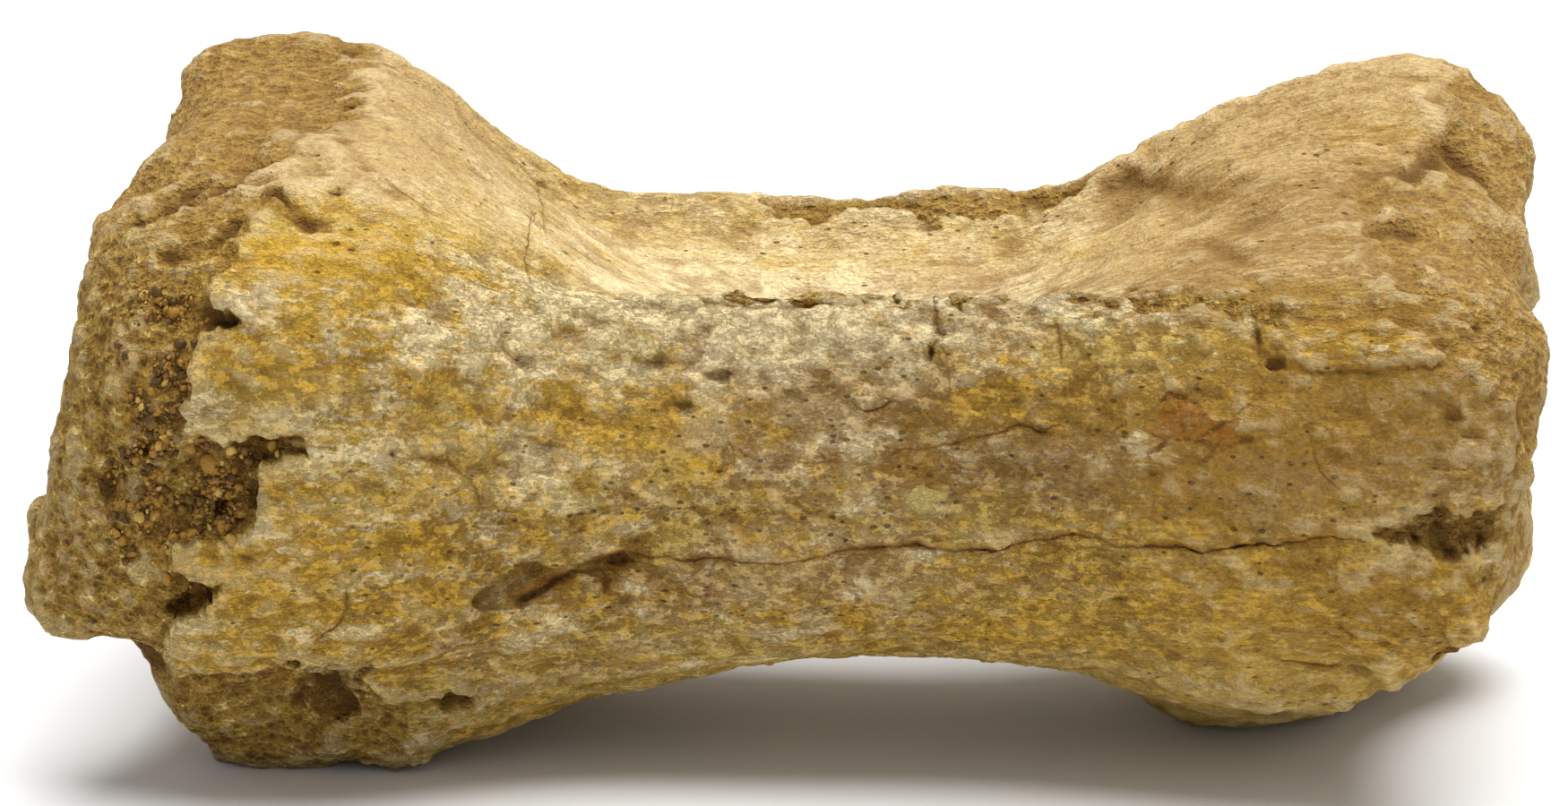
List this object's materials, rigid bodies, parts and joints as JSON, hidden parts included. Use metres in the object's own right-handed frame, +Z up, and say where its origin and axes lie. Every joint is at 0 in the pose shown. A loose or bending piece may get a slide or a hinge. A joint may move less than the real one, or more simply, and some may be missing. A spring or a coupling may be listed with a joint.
{
  "type": "fossil vertebra centrum",
  "caption": "Worn spool-shaped fossil tail bone with a nerve groove on top, flared spongy ends and a broken arch base. It lies on small flat spots under both flares.",
  "frame": {"origin": "on the ground plane under the middle of the bone's bounding box", "axes": "+X along the bone towards its right end, +Y towards its far side, +Z up out of the nerve groove"},
  "size_m": [0.094, 0.0469, 0.0417],
  "materials": {
    "fossil_bone": "dry matt fossil bone, tan to ochre, with a harder crust and spongy worn ends"
  },
  "bodies": {
    "root": {"bone": "fossil_bone"}
  },
  "joints": []
}
